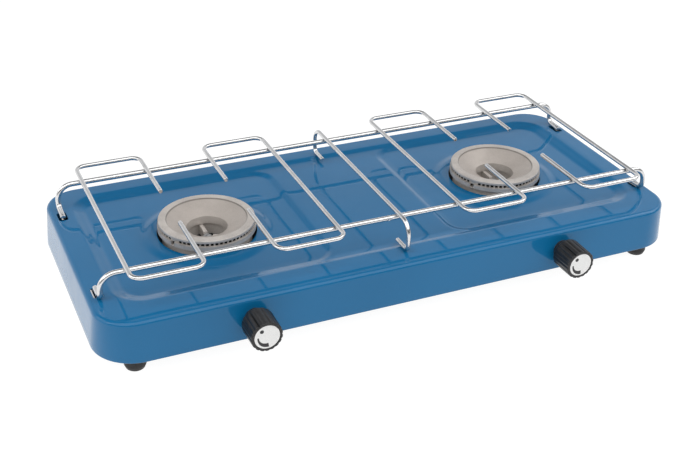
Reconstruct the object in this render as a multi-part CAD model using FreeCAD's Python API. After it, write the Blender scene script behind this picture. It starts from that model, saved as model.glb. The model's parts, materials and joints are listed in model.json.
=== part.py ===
import FreeCAD, Part
import math
import os
from FreeCAD import Vector

# Two-burner camping stove: a pressed steel tray on rubber feet, two cast burners with lift-off
# caps, a welded wire pan support, two fluted knobs and the gas train under the tray.
# Millimetres. X runs along the stove, -Y is the front with the knobs, +Z is up. The origin is on
# the surface that the stove stands on, under the middle of the tray.

# ---- pressed tray ----
body_length = 475.0
body_depth = 214.0
wall_bottom = 12.0
top_plane = 43.5
wall_draft = 3.0
bottom_corner = 33.0
top_corner = 27.0
top_edge_radius = 3.5
sheet = 0.8
flange_width = 7.0

# recess pressed into the top: two burner cells with a shallower bridge between them
recess_length = 434.0
recess_front = -79.0
recess_back = 88.0
recess_corner = 24.0
bridge_drop = 1.6
cell_drop = 3.2
step_run = 5.25
bridge_half_width = 48.0
collar_foot_radius = 52.0
collar_top_radius = 44.0
collar_height = 1.5
burner_hole_radius = 38.5

# slots for the corner feet of the pan support, as distances from the cooking line
slot_half_width = 3.6
slot_corner = 1.5
slot_near = 52.0
slot_far = 65.0

# ---- layout ----
burner_x = 127.0
cooking_y = 1.5
knob_z = 28.2
knob_face_y = -131.5
pipe_z = 19.5
rail_y = -93.0
inlet_x = 190.0
seat_gap = 0.1
fit_gap = 0.05
wall_hole_gap = 0.2

# ---- rubber feet and the channels that carry them ----
foot_x = 210.5
foot_y = 92.0
foot_radius = 8.0
foot_sole_radius = 6.6
foot_stem_radius = 3.0
foot_head_radius = 4.4
foot_head_height = 4.0
channel_half_width = 12.0
channel_lip = 8.0
channel_edge_gap = 2.5
channel_lip_stop = 17.0

# ---- burners; heights are above the tray's top plane ----
chamber_radius = 34.5
chamber_inner_radius = 32.5
chamber_floor = -10.0
chamber_wall = 2.0
seat_flange_radius = 37.8
seat_flange_foot = 1.6
seat_flange_top = 5.0
core_radius = 17.6
core_top = 0.8
core_foot = -14.5
boss_radius = 5.0
boss_top = -8.5
boss_arm_width = 3.0
boss_arm_start = 4.5
boss_arm_top = -5.5
boss_arm_foot = -13.0
boss_arm_angles = (90, 210, 330)
tube_radius = 8.0
tube_bore_radius = 6.0
tube_front = -72.0
tube_back = -19.0
bell_radius = 10.0
bell_mouth_radius = 8.5
bell_length = 7.0

cap_radius = 37.2
cap_top = 9.9
cap_bevel = 0.8
cap_dish_radius = 31.0
cap_dish_step = 0.7
cap_air_radius = 15.8
cap_air_foot = -4.9
cap_lip_height = 1.8
cap_wall = 1.5
cap_rim_foot = 7.3
port_band_radius = 36.0
skirt_inner_radius = 33.2
port_count = 64
port_width = 2.0
port_height = 2.1
lug_angle = 210.0
lug_width = 2.6
lug_clearance = 0.4

# strap that each burner is bolted to
strap_top_z = 18.8
strap_thickness = 1.2
strap_half_depth = 11.0
strap_half_length = 56.0
strap_tab = 11.0
screw_radius = 2.0
screw_tail_z = 13.5
screw_hole_gap = 0.2
screw_head_radius = 3.6
screw_head_height = 2.3
screw_slot_angle = 35
nut_flats = 7.0
nut_height = 3.2

# ---- gas train ----
pipe_radius = 4.0
pipe_wall = 1.0
rail_overhang = 13.0
plug_length = 5.0
plug_head = 1.5
elbow_half = 6.5
elbow_stop = 4.2
gas_way_radius = 1.2

fitting_flats = 13.0
fitting_socket_y = 96.0
socket_depth = 7.0
inner_shoulder_y = 104.8
shank_radius = 5.5
spigot_radius = 4.5
spigot_length = 20.0
spigot_bore_radius = 2.6
groove_depth = 0.45
groove_width = 1.2
groove_starts = (5.0, 9.0, 13.0)
inlet_nut_flats = 15.0
inlet_nut_height = 3.0
inlet_gasket_radius = 7.0
inlet_gasket_proud = 1.4

tap_radius = 7.0
tap_front = -103.9
tap_back = -82.0
saddle_drop = 5.5
neck_radius = 5.5
neck_front = -111.0
valve_seat_y = -88.0
jet_thread_radius = 2.5
jet_thread_depth = 4.0
jet_hexagon_length = 3.5
jet_nose_length = 3.0
seal_radius = 0.65
seal_pocket_radius = 4.4
bush_length = 2.2
tap_nut_flats = 13.5
tap_nut_height = 2.2
tap_gasket_radius = 7.5
tap_gasket_proud = 0.8

spindle_radius = 3.0
spindle_clearance = 0.06
spindle_front = -124.0
spindle_back = -98.0
spindle_waist_radius = 1.8
spindle_flat_height = 2.0
spindle_flat_end = -112.5
needle_root = -91.0
needle_tip = -87.0
needle_tip_radius = 0.93

# ---- knobs ----
knob_radius_front = 11.7
knob_radius_back = 11.9
knob_back_y = -110.2
knob_edge_radius = 0.9
knob_front_wall = 3.0
knob_hollow_radius = 9.7
hub_radius = 5.2
hub_stop = 2.5
nut_room_radius = 6.5
nut_room_depth = 5.5
flute_count = 18
flute_radius = 1.7
flute_depth = 0.55
disc_radius = 9.7
disc_thickness = 0.6
disc_seat_depth = 0.8

# ---- pan support; half depths are from the cooking line ----
rail_radius = 2.1
wire_radius = 1.75
weld_sink = 0.1
rail_half_depth = 70.6
rail_half_length = 226.0
rail_above_top = 20.7
rail_bend = 12.0
foot_bend = 5.0
foot_reach = 16.6
corner_foot_gap = 0.5
corner_tip_height = 1.4
bar_half_depth = 90.5
bar_bend = 8.0
outer_bar_x = 207.0
outer_prong_x = 155.0
inner_prong_x = 102.0
inner_bar_x = 50.0
prong_tip_half_depth = 26.0
centre_leg_half_depth = 91.0
centre_leg_bend = 11.0
centre_foot_bend = 4.5
centre_foot_reach = 18.0
centre_foot_gap = 0.4

# ---- values worked out from those ----
floor_plane = top_plane - cell_drop
panel_underside = floor_plane - sheet
rail_z = top_plane + rail_above_top
wire_z = rail_z + rail_radius + wire_radius - weld_sink
draft_slope = wall_draft / (top_plane - wall_bottom)
spigot_tip_y = -knob_face_y
rail_left_x = -burner_x - rail_overhang
sides = {"left": -1, "right": 1}
up = Vector(0, 0, 1)
rearwards = Vector(0, 1, 0)


def save(shape, name):
    """Write one node, checking that each of its solids is sound."""
    for solid in shape.Solids:
        if not solid.isValid() or solid.Volume <= 0:
            raise ValueError(name + " holds an unsound solid")
    shape.exportStep("parts/" + name + ".step")
    print(f"{name:24s} solids {len(shape.Solids)}  volume {shape.Volume:10.1f} mm3")


# ---- small shape helpers ----
def block(x_ends, y_ends, z_ends):
    """Box between pairs of coordinates, given in either order."""
    low = Vector(min(x_ends), min(y_ends), min(z_ends))
    high = Vector(max(x_ends), max(y_ends), max(z_ends))
    size = high - low
    return Part.makeBox(size.x, size.y, size.z, low)


def rod(radius, start, end):
    """Round bar from one point to another."""
    run = end - start
    return Part.makeCylinder(radius, run.Length, start, run)


def ring(radius, hole_radius, start, end):
    return rod(radius, start, end).cut(rod(hole_radius, start, end))


def turned(profile, centre):
    """Turn a closed outline of (radius, height) points about the vertical through a centre point."""
    points = [centre + Vector(radius, 0, height) for radius, height in profile]
    face = Part.Face(Part.makePolygon(points + points[:1]))
    return face.revolve(centre, up, 360)


def hexagon_bar(across_flats, start, end):
    """Six-sided bar along Y or Z."""
    run = end - start
    corner_radius = across_flats / math.sqrt(3)
    side = Vector(1, 0, 0)
    other = run.cross(side).normalize()
    points = []
    for step in range(6):
        angle = math.radians(60 * step)
        points.append(start + (side * math.cos(angle) + other * math.sin(angle)) * corner_radius)
    return Part.Face(Part.makePolygon(points + points[:1])).extrude(run)


def rounded_outline(x_low, x_high, y_low, y_high, corner, z):
    """Closed rounded-rectangle wire at one height."""
    diagonal = corner * (1 - math.sqrt(0.5))
    arcs = []
    for x_end, y_end, x_in, y_in, first_along_x in (
        (x_high, y_low, -1, 1, True),
        (x_high, y_high, -1, -1, False),
        (x_low, y_high, 1, -1, True),
        (x_low, y_low, 1, 1, False),
    ):
        along_x = Vector(x_end + x_in * corner, y_end, z)
        along_y = Vector(x_end, y_end + y_in * corner, z)
        middle = Vector(x_end + x_in * diagonal, y_end + y_in * diagonal, z)
        ends = (along_x, along_y) if first_along_x else (along_y, along_x)
        arcs.append((ends[0], middle, ends[1]))
    edges = []
    for index, (start, middle, end) in enumerate(arcs):
        edges.append(Part.Arc(start, middle, end).toShape())
        edges.append(Part.LineSegment(end, arcs[(index + 1) % 4][0]).toShape())
    return Part.Wire(edges)


def plate(x_ends, y_ends, corner, z_ends):
    """Flat plate with rounded corners between pairs of coordinates, given in either order."""
    outline = rounded_outline(min(x_ends), max(x_ends), min(y_ends), max(y_ends), corner, min(z_ends))
    return Part.Face(outline).extrude(up * (max(z_ends) - min(z_ends)))


def tray_plate(inset, z_ends):
    """Plate with the outline of the tray's bottom edge, drawn in by one inset."""
    half_length = body_length / 2 - inset
    half_depth = body_depth / 2 - inset
    return plate((-half_length, half_length), (-half_depth, half_depth), bottom_corner - inset, z_ends)


def radial_block(centre, angle, r_ends, width, z_ends):
    """Block reaching outwards from a vertical axis at one compass angle."""
    arm = block(r_ends, (-width / 2, width / 2), z_ends)
    arm.rotate(Vector(0, 0, 0), up, angle)
    arm.translate(centre)
    return arm


def bent_wire(points, bends, radius):
    """Round wire along straight runs, with a tangent arc at each inner point."""
    edges = []
    start = points[0]
    for before, corner, after, bend in zip(points, points[1:], points[2:], bends):
        incoming = (corner - before).normalize()
        outgoing = (after - corner).normalize()
        half_turn = incoming.getAngle(outgoing) / 2
        reach = bend * math.tan(half_turn)
        inward = (outgoing - incoming).normalize()
        arc_start = corner - incoming * reach
        arc_middle = corner + inward * (bend / math.cos(half_turn) - bend)
        arc_end = corner + outgoing * reach
        edges.append(Part.LineSegment(start, arc_start).toShape())
        edges.append(Part.Arc(arc_start, arc_middle, arc_end).toShape())
        start = arc_end
    edges.append(Part.LineSegment(start, points[-1]).toShape())
    section = Part.Wire([Part.Circle(points[0], points[1] - points[0], radius).toShape()])
    return Part.Wire(edges).makePipeShell([section], True, False)


def group(maker):
    """The left and the right piece of one kind, as separate solids of one node."""
    return Part.makeCompound([maker(side) for side in sides.values()])


# ---- the tray ----
def wall_y(z):
    """Distance of the tray's outer front or rear wall face from the middle at one height."""
    return body_depth / 2 - (z - wall_bottom) * draft_slope


def tray_block(inset):
    """The tray as a solid block, drawn in by one inset on the sides and the top."""
    half_length = body_length / 2 - inset
    half_depth = body_depth / 2 - inset
    bottom = rounded_outline(-half_length, half_length, -half_depth, half_depth,
                             bottom_corner - inset, wall_bottom)
    half_length -= wall_draft
    half_depth -= wall_draft
    height = top_plane - inset
    top = rounded_outline(-half_length, half_length, -half_depth, half_depth,
                          top_corner - inset, height)
    solid = Part.makeLoft([bottom, top], True, True)
    rim = [edge for edge in solid.Edges if abs(edge.BoundBox.ZMin - height) < 1e-4]
    return solid.makeFillet(top_edge_radius - inset, rim)


def sloped_pocket(x_low, x_high, y_low, y_high, corner, z_high, depth):
    """Pocket with sloping sides, one step_run wide, cut down from one height."""
    upper = rounded_outline(x_low, x_high, y_low, y_high, corner, z_high)
    lower = rounded_outline(x_low + step_run, x_high - step_run, y_low + step_run, y_high - step_run,
                            corner - step_run, z_high - depth)
    return Part.makeLoft([upper, lower], True, True)


def recess(height):
    """What the press takes out of a flat top at one height."""
    half_length = recess_length / 2
    shallow = sloped_pocket(-half_length, half_length, recess_front, recess_back, recess_corner,
                            height, bridge_drop)
    cells = []
    for side in sides.values():
        ends = sorted((side * bridge_half_width, side * (half_length - step_run)))
        cells.append(sloped_pocket(ends[0], ends[1], recess_front + step_run, recess_back - step_run,
                                   recess_corner - step_run, height - bridge_drop, cell_drop - bridge_drop))
    return shallow.fuse(cells)


def burner_collars(height):
    """Low raised cone round each burner hole."""
    floor = height - cell_drop
    profile = [(0, 0), (collar_foot_radius, 0), (collar_top_radius, collar_height), (0, collar_height)]
    return [turned(profile, Vector(side * burner_x, cooking_y, floor)) for side in sides.values()]


def pressed_block(inset):
    return tray_block(inset).cut(recess(top_plane - inset)).fuse(burner_collars(top_plane - inset))


def bottom_flange():
    """Narrow lip folded in along the bottom edge."""
    z_ends = (wall_bottom, wall_bottom + sheet)
    return tray_plate(sheet / 2, z_ends).cut(tray_plate(flange_width, z_ends))


def burner_holes():
    holes = []
    for side in sides.values():
        low = Vector(side * burner_x, cooking_y, panel_underside - sheet)
        holes.append(rod(burner_hole_radius, low, low + up * (cell_drop + 3 * sheet)))
    return holes


def foot_slots():
    """Slots that the corner feet of the pan support drop into."""
    slots = []
    for x_side in (-1, 1):
        for y_side in (-1, 1):
            x_middle = x_side * rail_half_length
            x_ends = (x_middle - slot_half_width, x_middle + slot_half_width)
            y_ends = (cooking_y + y_side * slot_near, cooking_y + y_side * slot_far)
            slots.append(plate(x_ends, y_ends, slot_corner, (top_plane - 3 * sheet, top_plane + sheet)))
    return slots


def wall_holes():
    """Holes for the tap necks in the front wall and for the gas inlet in the rear wall."""
    reach = rearwards * 10
    holes = []
    for side in sides.values():
        middle = Vector(side * burner_x, -wall_y(knob_z), knob_z)
        holes.append(rod(neck_radius + wall_hole_gap, middle - reach, middle + reach))
    middle = Vector(inlet_x, wall_y(pipe_z), pipe_z)
    holes.append(rod(shank_radius + wall_hole_gap, middle - reach, middle + reach))
    return holes


def top_shell():
    """Tray pressed from one sheet: rim, recess, walls and bottom flange, with all its holes."""
    shell = pressed_block(0).cut(pressed_block(sheet)).fuse(bottom_flange())
    return shell.cut(burner_holes() + foot_slots() + wall_holes()).removeSplitter()


# ---- what the tray stands on ----
def foot_rail(side):
    """Shallow channel across the open underside, welded under the flange, that carries two feet."""
    web_top = wall_bottom
    web_bottom = web_top - sheet
    x_ends = (side * foot_x - channel_half_width, side * foot_x + channel_half_width)
    web = tray_plate(channel_edge_gap, (web_bottom, web_top))
    web = web.common(block(x_ends, (-body_depth, body_depth), (web_bottom, web_top)))
    lip_half_depth = body_depth / 2 - channel_lip_stop
    lips = []
    for x_edge, inwards in ((min(x_ends), 1), (max(x_ends), -1)):
        lips.append(block((x_edge, x_edge + inwards * sheet), (-lip_half_depth, lip_half_depth),
                          (web_bottom, web_top + channel_lip)))
    stem_holes = []
    for y in (-foot_y, foot_y):
        middle = Vector(side * foot_x, y, web_bottom)
        stem_holes.append(rod(foot_stem_radius + fit_gap, middle - up, middle + up * 3))
    return web.fuse(lips).cut(stem_holes).removeSplitter()


def rubber_foot(x, y):
    """Push-in foot: tapered pad, stem through the channel and a mushroom head above it."""
    pad_top = wall_bottom - sheet
    head_top = wall_bottom + foot_head_height
    profile = [
        (0, 0), (foot_sole_radius, 0), (foot_sole_radius + 0.8, 0.8), (foot_radius, pad_top),
        (foot_stem_radius, pad_top), (foot_stem_radius, wall_bottom), (foot_head_radius, wall_bottom),
        (foot_head_radius / 2, head_top), (0, head_top),
    ]
    return turned(profile, Vector(x, y, 0))


# ---- burners ----
def burner_centre(side):
    return Vector(side * burner_x, cooking_y, top_plane)


def burner_body(side):
    """Cast body: ring-shaped gas chamber, seat flange, mixing tube and a bolted centre boss."""
    centre = burner_centre(side)
    floor_top = chamber_floor + chamber_wall
    core_outside = core_radius + chamber_wall
    cup = turned([
        (core_radius, core_foot), (core_outside, core_foot), (core_outside, chamber_floor),
        (chamber_radius, chamber_floor), (chamber_radius, seat_flange_foot),
        (seat_flange_radius, seat_flange_foot), (seat_flange_radius, seat_flange_top),
        (chamber_inner_radius, seat_flange_top), (chamber_inner_radius, floor_top),
        (core_outside, floor_top), (core_outside, core_top), (core_radius, core_top),
    ], centre)
    tube_z = knob_z - top_plane
    mouth, tube_end = [centre + Vector(0, y, tube_z) for y in (tube_front, tube_back)]
    bell = Part.makeCone(bell_radius, tube_radius, bell_length, mouth, rearwards)
    boss_foot = centre + up * (strap_top_z - top_plane)
    boss = rod(boss_radius, boss_foot, centre + up * boss_top)
    arms = []
    for angle in boss_arm_angles:
        arms.append(radial_block(centre, angle, (boss_arm_start, core_radius + 1), boss_arm_width,
                                 (boss_arm_foot, boss_arm_top)))
    body = cup.fuse([rod(tube_radius, mouth, tube_end), bell, boss] + arms)
    bell_mouth = Part.makeCone(bell_mouth_radius, tube_bore_radius, bell_length, mouth, rearwards)
    bore = rod(tube_bore_radius, mouth, tube_end - rearwards * 2)
    gas_passage = block((-5, 5), (-31, -21), (tube_z, floor_top + 1))
    gas_passage.translate(centre)
    lug_notch = radial_block(centre, lug_angle, (chamber_inner_radius - 1, cap_radius + 1),
                             lug_width + 2 * lug_clearance, (2.0, seat_flange_top + 1))
    screw_hole = rod(screw_radius + screw_hole_gap, boss_foot, centre)
    return body.cut([bore, bell_mouth, gas_passage, lug_notch, screw_hole]).removeSplitter()


def burner_cap(side):
    """Lift-off cap: flat rim, dished middle with an air hole, flame ports round the skirt."""
    centre = burner_centre(side)
    skirt_foot = seat_flange_top + seat_gap
    dish_edge = cap_top - cap_dish_step
    skirt_top = skirt_foot + port_height + 0.3
    crown = turned([
        (cap_air_radius, cap_air_foot), (cap_air_radius, cap_lip_height),
        (cap_air_radius + cap_wall - 0.1, cap_lip_height + 0.9), (cap_dish_radius, dish_edge),
        (cap_dish_radius, cap_top), (cap_radius - cap_bevel, cap_top), (cap_radius, cap_top - cap_bevel),
        (cap_radius, cap_rim_foot), (port_band_radius, cap_rim_foot), (port_band_radius, skirt_foot),
        (skirt_inner_radius, skirt_foot), (skirt_inner_radius, skirt_top),
        (cap_dish_radius - 1, dish_edge - 1.9), (core_radius + 2.4, cap_lip_height - 0.3),
        (cap_air_radius + cap_wall, cap_lip_height - 0.6), (cap_air_radius + cap_wall, cap_air_foot),
    ], centre)
    ports = []
    for index in range(port_count):
        angle = 360 * index / port_count
        ports.append(radial_block(centre, angle, (skirt_inner_radius - 1.2, cap_radius + 1), port_width,
                                  (skirt_foot - 1, skirt_foot + port_height)))
    lug = radial_block(centre, lug_angle, (skirt_inner_radius + 0.2, port_band_radius + 0.6), lug_width,
                       (seat_flange_top - 1.8, skirt_foot + port_height + 0.2))
    return crown.cut(Part.makeCompound(ports)).fuse(lug).removeSplitter()


def burner_bridge(side):
    """Hat-shaped strap welded under the panel that the burner is bolted down to."""
    y_ends = (cooking_y - strap_half_depth, cooking_y + strap_half_depth)
    strap_bottom_z = strap_top_z - strap_thickness
    middle_x = side * burner_x
    strap = block((middle_x - strap_half_length, middle_x + strap_half_length), y_ends,
                  (strap_bottom_z, strap_top_z))
    pieces = []
    for end in (-1, 1):
        outer_x = middle_x + end * strap_half_length
        inner_x = outer_x - end * strap_thickness
        pieces.append(block((outer_x, inner_x), y_ends, (strap_bottom_z, panel_underside)))
        pieces.append(block((inner_x, outer_x + end * strap_tab), y_ends,
                            (panel_underside - strap_thickness, panel_underside)))
    low = Vector(middle_x, cooking_y, strap_bottom_z)
    screw_hole = rod(screw_radius + screw_hole_gap, low - up, low + up * 3)
    return strap.fuse(pieces).cut(screw_hole).removeSplitter()


def burner_screw(side):
    """Slotted screw from the burner's boss down through the strap."""
    seat = burner_centre(side) + up * boss_top
    tail = Vector(side * burner_x, cooking_y, screw_tail_z)
    head = turned([
        (0, 0), (screw_head_radius, 0), (screw_head_radius, 1.4),
        (screw_head_radius - 1, screw_head_height), (0, screw_head_height),
    ], seat)
    slot = block((-screw_head_radius - 1, screw_head_radius + 1), (-0.5, 0.5), (1.3, screw_head_height + 1))
    slot.rotate(Vector(0, 0, 0), up, screw_slot_angle)
    slot.translate(seat)
    return rod(screw_radius, tail, seat).fuse(head).cut(slot)


def burner_nut(side):
    top = Vector(side * burner_x, cooking_y, strap_top_z - strap_thickness)
    bottom = top - up * nut_height
    return hexagon_bar(nut_flats, bottom, top).cut(rod(screw_radius, bottom, top))


# ---- gas train ----
def gas_rail():
    """Tube across the front that feeds both taps, with a cross hole under each."""
    left_end = Vector(rail_left_x, rail_y, pipe_z)
    right_end = Vector(inlet_x - elbow_stop, rail_y, pipe_z)
    tube = ring(pipe_radius, pipe_radius - pipe_wall, left_end, right_end)
    for side in sides.values():
        middle = Vector(side * burner_x, rail_y, pipe_z)
        tube = tube.cut(rod(gas_way_radius, middle, middle + up * (pipe_radius + 1)))
    return tube


def rail_end_plug():
    """Plug that closes the dead end of the rail."""
    end = Vector(rail_left_x, rail_y, pipe_z)
    along = Vector(1, 0, 0)
    head = rod(pipe_radius, end - along * plug_head, end)
    return head.fuse(rod(pipe_radius - pipe_wall, end, end + along * plug_length))


def rail_elbow():
    """Brazed block that turns the gas from the feed pipe into the rail."""
    centre = Vector(inlet_x, rail_y, pipe_z)
    leftwards = Vector(-1, 0, 0)
    half = (-elbow_half, elbow_half)
    body = block(half, half, half)
    body.translate(centre)
    passages = []
    for direction in (leftwards, rearwards):
        face = centre + direction * elbow_half
        passages.append(rod(pipe_radius, centre + direction * elbow_stop, face))
        passages.append(rod(pipe_radius / 2, centre - direction, face))
    return body.cut(passages)


def on_inlet_axis(y):
    return Vector(inlet_x, y, pipe_z)


def feed_pipe():
    """Straight tube along the right side, from the inlet fitting to the elbow."""
    return ring(pipe_radius, pipe_radius - pipe_wall,
                on_inlet_axis(rail_y + elbow_stop), on_inlet_axis(fitting_socket_y + socket_depth))


def inlet_fitting():
    """Bulkhead fitting: hexagon inside the wall, threaded shank through it, grooved hose spigot."""
    spigot_root = spigot_tip_y - spigot_length
    hexagon = hexagon_bar(fitting_flats, on_inlet_axis(fitting_socket_y), on_inlet_axis(inner_shoulder_y))
    shank = rod(shank_radius, on_inlet_axis(inner_shoulder_y), on_inlet_axis(spigot_root))
    spigot = rod(spigot_radius, on_inlet_axis(spigot_root), on_inlet_axis(spigot_tip_y))
    grooves = []
    for distance in groove_starts:
        start = on_inlet_axis(spigot_root + distance)
        grooves.append(ring(spigot_radius + 1, spigot_radius - groove_depth,
                            start, start + rearwards * groove_width))
    socket = rod(pipe_radius, on_inlet_axis(fitting_socket_y), on_inlet_axis(fitting_socket_y + socket_depth))
    gas_way = rod(spigot_bore_radius, on_inlet_axis(fitting_socket_y), on_inlet_axis(spigot_tip_y))
    return hexagon.fuse([shank, spigot]).cut(grooves + [socket, gas_way]).removeSplitter()


def inlet_locknut():
    start = on_inlet_axis(wall_y(wall_bottom) + inlet_gasket_proud)
    end = start + rearwards * inlet_nut_height
    return hexagon_bar(inlet_nut_flats, start, end).cut(rod(shank_radius, start, end))


def inlet_gasket():
    """Rubber washer between the sloping rear wall and the locknut."""
    start = on_inlet_axis(wall_y(top_plane))
    end = on_inlet_axis(wall_y(wall_bottom) + inlet_gasket_proud)
    return ring(inlet_gasket_radius, shank_radius, start, end).cut(tray_block(0))


def on_tap_axis(side, y):
    return Vector(side * burner_x, y, knob_z)


def tap_body(side):
    """Brass tap: bored barrel, threaded neck through the front wall, block brazed round the rail."""
    barrel = rod(tap_radius, on_tap_axis(side, tap_front), on_tap_axis(side, tap_back))
    neck = rod(neck_radius, on_tap_axis(side, neck_front), on_tap_axis(side, tap_front))
    x_ends = (side * burner_x - tap_radius, side * burner_x + tap_radius)
    saddle = block(x_ends, (rail_y - elbow_half, rail_y + elbow_half), (pipe_z - saddle_drop, knob_z))
    rail_way = rod(pipe_radius + fit_gap, Vector(min(x_ends) - 1, rail_y, pipe_z),
                   Vector(max(x_ends) + 1, rail_y, pipe_z))
    gas_in = rod(gas_way_radius, Vector(side * burner_x, rail_y, pipe_z), on_tap_axis(side, rail_y))
    bore = rod(spindle_radius + spindle_clearance, on_tap_axis(side, neck_front),
               on_tap_axis(side, valve_seat_y))
    outlet = rod(gas_way_radius, on_tap_axis(side, valve_seat_y), on_tap_axis(side, tap_back))
    jet_thread = rod(jet_thread_radius, on_tap_axis(side, tap_back - jet_thread_depth),
                     on_tap_axis(side, tap_back))
    seal_pocket = rod(seal_pocket_radius, on_tap_axis(side, neck_front), on_tap_axis(side, neck_front + 4))
    return barrel.fuse([neck, saddle]).cut([rail_way, gas_in, bore, outlet, jet_thread, seal_pocket])


def injector(side):
    """Brass jet screwed into the tap, aimed into the mixing tube."""
    seat = on_tap_axis(side, tap_back)
    nose_root = seat + rearwards * jet_hexagon_length
    tip = nose_root + rearwards * jet_nose_length
    thread_end = seat - rearwards * (jet_thread_depth - 0.2)
    hexagon = hexagon_bar(8.0, seat, nose_root)
    nose = Part.makeCone(3.6, 2.0, jet_nose_length, nose_root, rearwards)
    thread = rod(jet_thread_radius, thread_end, seat)
    jet = rod(0.4, thread_end, tip)
    chamber = rod(gas_way_radius, thread_end, tip - rearwards)
    return hexagon.fuse([nose, thread]).cut([jet, chamber])


def spindle(side):
    """Stem with a D-shaped end for the knob and a needle that shuts the valve seat."""
    stem = rod(spindle_radius, on_tap_axis(side, spindle_front), on_tap_axis(side, spindle_back))
    waist = rod(spindle_waist_radius, on_tap_axis(side, spindle_back), on_tap_axis(side, needle_root))
    needle = Part.makeCone(spindle_waist_radius, needle_tip_radius, needle_tip - needle_root,
                           on_tap_axis(side, needle_root), rearwards)
    x_ends = (side * burner_x - spindle_radius - 1, side * burner_x + spindle_radius + 1)
    flat = block(x_ends, (spindle_front - 1, spindle_flat_end),
                 (knob_z + spindle_flat_height, knob_z + spindle_radius + 1))
    return stem.fuse([waist, needle]).cut(flat)


def spindle_seal(side):
    """O-ring round the stem inside the neck."""
    return Part.makeTorus(spindle_radius + 0.02 + seal_radius, seal_radius,
                          on_tap_axis(side, neck_front + bush_length + 1), rearwards)


def gland_bush(side):
    """Bush that keeps the O-ring in its pocket."""
    return ring(seal_pocket_radius, spindle_radius + spindle_clearance,
                on_tap_axis(side, neck_front), on_tap_axis(side, neck_front + bush_length))


def tap_nut_back(side):
    return on_tap_axis(side, -wall_y(wall_bottom) - tap_gasket_proud)


def tap_locknut(side):
    back = tap_nut_back(side)
    front = back - rearwards * tap_nut_height
    return hexagon_bar(tap_nut_flats, front, back).cut(rod(neck_radius, front, back))


def tap_gasket(side):
    """Rubber washer between the locknut and the sloping front wall."""
    washer = ring(tap_gasket_radius, neck_radius, tap_nut_back(side), on_tap_axis(side, -wall_y(top_plane)))
    return washer.cut(tray_block(0))


# ---- knobs ----
def knob_flutes(face, length):
    """Shallow grooves along the side of a knob."""
    flutes = []
    groove_offset = flute_radius - flute_depth
    for index in range(flute_count):
        angle = 2 * math.pi * (index + 0.5) / flute_count
        outwards = Vector(math.cos(angle), 0, math.sin(angle))
        start = face + outwards * (knob_radius_front + groove_offset) - rearwards
        end = face + outwards * (knob_radius_back + groove_offset) + rearwards * (length + 1)
        flutes.append(rod(flute_radius, start, end))
    return flutes


def knob(side):
    """Fluted plastic knob, hollow behind, with a D-bored hub and a shallow seat for the face disc."""
    face = on_tap_axis(side, knob_face_y)
    length = knob_back_y - knob_face_y
    back = face + rearwards * length
    body = Part.makeCone(knob_radius_front, knob_radius_back, length, face, rearwards)
    front_rim = [edge for edge in body.Edges if abs(edge.BoundBox.YMax - knob_face_y) < 1e-3]
    body = body.makeFillet(knob_edge_radius, front_rim)
    face_seat = rod(disc_radius + fit_gap, face, face + rearwards * disc_seat_depth)
    hollow_front = face + rearwards * knob_front_wall
    hollow = rod(knob_hollow_radius, hollow_front, back)
    body = body.cut(knob_flutes(face, length) + [face_seat, hollow])
    nut_room = rod(nut_room_radius, back - rearwards * nut_room_depth, back)
    hub = rod(hub_radius, hollow_front, back - rearwards * hub_stop).cut(nut_room)
    socket = rod(spindle_radius + fit_gap, on_tap_axis(side, spindle_front - 0.5), back)
    x_ends = (side * burner_x - spindle_radius - 1, side * burner_x + spindle_radius + 1)
    key = block(x_ends, (spindle_front - 1, spindle_flat_end - 0.2),
                (knob_z + spindle_flat_height + fit_gap, knob_z + spindle_radius + 1))
    return body.fuse(hub).cut(socket.cut(key)).removeSplitter()


def knob_disc(side):
    """Light face disc glued into the front of the knob."""
    seat = on_tap_axis(side, knob_face_y + disc_seat_depth)
    return rod(disc_radius, seat - rearwards * disc_thickness, seat)


# ---- pan support ----
def long_rail(y_side):
    """Heavy wire along the stove, bent down at both ends into a foot that points to the middle."""
    y = cooking_y + y_side * rail_half_depth
    tip_y = y - y_side * foot_reach
    foot_z = top_plane + rail_radius + corner_foot_gap
    tip_z = top_plane + corner_tip_height
    points = []
    for x in (-rail_half_length, rail_half_length):
        end = [Vector(x, tip_y, tip_z), Vector(x, y, foot_z), Vector(x, y, rail_z)]
        points += end if x < 0 else end[::-1]
    return bent_wire(points, [foot_bend, rail_bend, rail_bend, foot_bend], rail_radius)


def centre_wire():
    """Wire across the middle, over both rails, with a leg and a foot at the front and at the back."""
    foot_z = top_plane + wire_radius + centre_foot_gap
    front = cooking_y - centre_leg_half_depth
    back = cooking_y + centre_leg_half_depth
    points = [
        Vector(0, front + centre_foot_reach, foot_z), Vector(0, front, foot_z), Vector(0, front, wire_z),
        Vector(0, back, wire_z), Vector(0, back, foot_z), Vector(0, back - centre_foot_reach, foot_z),
    ]
    bends = [centre_foot_bend, centre_leg_bend, centre_leg_bend, centre_foot_bend]
    return bent_wire(points, bends, wire_radius)


def support_wire(bar_x, prong_x):
    """Flat C-shaped wire on top of the rails: long bar, two end bars and two prongs over a burner."""
    front_bar = cooking_y - bar_half_depth
    back_bar = cooking_y + bar_half_depth
    points = [
        Vector(prong_x, cooking_y - prong_tip_half_depth, wire_z), Vector(prong_x, front_bar, wire_z),
        Vector(bar_x, front_bar, wire_z), Vector(bar_x, back_bar, wire_z),
        Vector(prong_x, back_bar, wire_z), Vector(prong_x, cooking_y + prong_tip_half_depth, wire_z),
    ]
    return bent_wire(points, [bar_bend] * 4, wire_radius)


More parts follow.
